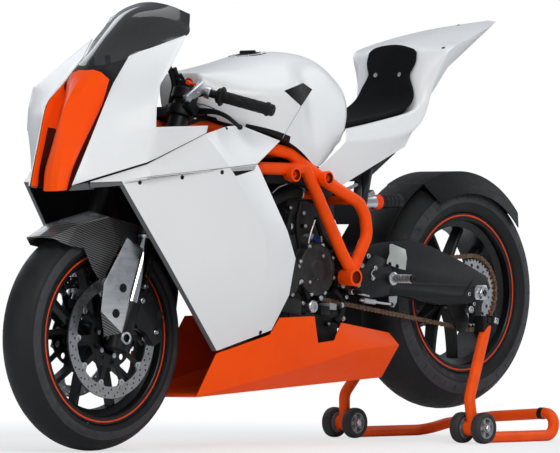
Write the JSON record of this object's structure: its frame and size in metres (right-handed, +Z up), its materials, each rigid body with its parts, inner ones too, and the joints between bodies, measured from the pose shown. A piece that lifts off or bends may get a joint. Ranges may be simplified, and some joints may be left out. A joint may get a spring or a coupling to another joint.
{
  "type": "sport motorcycle on a paddock stand",
  "caption": "Faired sport motorcycle with trellis frame, slick tyres and raised seat, its rear wheel lifted on a tubular paddock stand; wheels turn and the front end steers.",
  "frame": {"origin": "on the floor, under the middle of the bike's length and width", "axes": "+X forward, +Y to the rider's left, +Z up"},
  "size_m": [2.0546, 0.6944, 1.2198],
  "materials": {
    "white_paint": "satin",
    "orange_paint": "gloss",
    "frame_paint": "gloss",
    "stand_paint": "gloss",
    "smoked_screen": "gloss",
    "black_metal": "satin",
    "dark_metal": "satin",
    "engine_metal": "satin",
    "exhaust_steel": "satin",
    "bright_metal": "satin",
    "chrome_tube": "polished",
    "disc_steel": "satin",
    "chain_metal": "satin",
    "carbon": "gloss",
    "black_plastic": "matt",
    "grey_plastic": "matt",
    "seat_foam": "matt",
    "grip_rubber": "matt",
    "tyre_rubber": "matt"
  },
  "bodies": {
    "chassis": {"main_frame": "frame_paint", "rear_subframe": "black_metal", "engine_crankcase": "engine_metal", "engine_cylinders": "dark_metal", "engine_covers": "dark_metal", "exhaust": "exhaust_steel", "radiator": "black_metal", "nose_fairing": "white_paint", "nose_insert": "orange_paint", "windscreen": "smoked_screen", "upper_side_panels": "white_paint", "lower_side_panels": "white_paint", "belly_pan": "orange_paint", "tank_cover": "white_paint", "fuel_cap": "black_metal", "tail_unit": "white_paint", "seat_pad": "seat_foam", "swingarm": "black_metal", "rear_hugger": "black_plastic", "chain": "chain_metal", "rear_axle": "bright_metal", "rear_caliper": "black_metal", "shock_absorber": "dark_metal", "rearset_plates": "black_metal", "footrests": "bright_metal", "foot_controls": "black_metal", "fairing_bracket": "black_metal", "panel_stays": "black_metal", "instruments": "black_plastic", "stand_frame": "stand_paint", "stand_hooks": "black_plastic"},
    "steering": {"fork_feet": "bright_metal", "fork_sliders": "chrome_tube", "fork_tubes": "black_metal", "yokes": "dark_metal", "front_axle": "bright_metal", "front_calipers": "black_metal", "front_fender": "carbon", "fork_guards": "bright_metal", "handlebars": "black_metal", "grips": "grip_rubber", "hand_levers": "black_metal"},
    "front_wheel": {"front_rim": "black_metal", "front_tyre": "tyre_rubber", "front_discs": "disc_steel"},
    "rear_wheel": {"rear_rim": "black_metal", "rear_tyre": "tyre_rubber", "rear_sprocket": "chain_metal", "rear_disc": "disc_steel"},
    "stand_wheels_left": {"stand_wheels_left": "grey_plastic"},
    "stand_wheels_right": {"stand_wheels_right": "grey_plastic"}
  },
  "joints": [
    {"name": "steering", "type": "hinge", "parent": "chassis", "child": "steering", "pos_m": [0.69906, 0, 0.28974], "axis": [-0.342, 0, 0.9397], "range_deg": [-25, 25]},
    {"name": "front_wheel", "type": "hinge", "parent": "steering", "child": "front_wheel", "pos_m": [0.72725, 0, 0.3], "axis": [0, 1, 0], "continuous": true},
    {"name": "rear_wheel", "type": "hinge", "parent": "chassis", "child": "rear_wheel", "pos_m": [-0.69225, 0, 0.425], "axis": [0, 1, 0], "continuous": true},
    {"name": "stand_wheels_left", "type": "hinge", "parent": "chassis", "child": "stand_wheels_left", "pos_m": [-0.55097, 0.243, 0.044], "axis": [0, 1, 0], "continuous": true},
    {"name": "stand_wheels_right", "type": "hinge", "parent": "chassis", "child": "stand_wheels_right", "pos_m": [-0.55097, -0.243, 0.044], "axis": [0, 1, 0], "continuous": true}
  ]
}
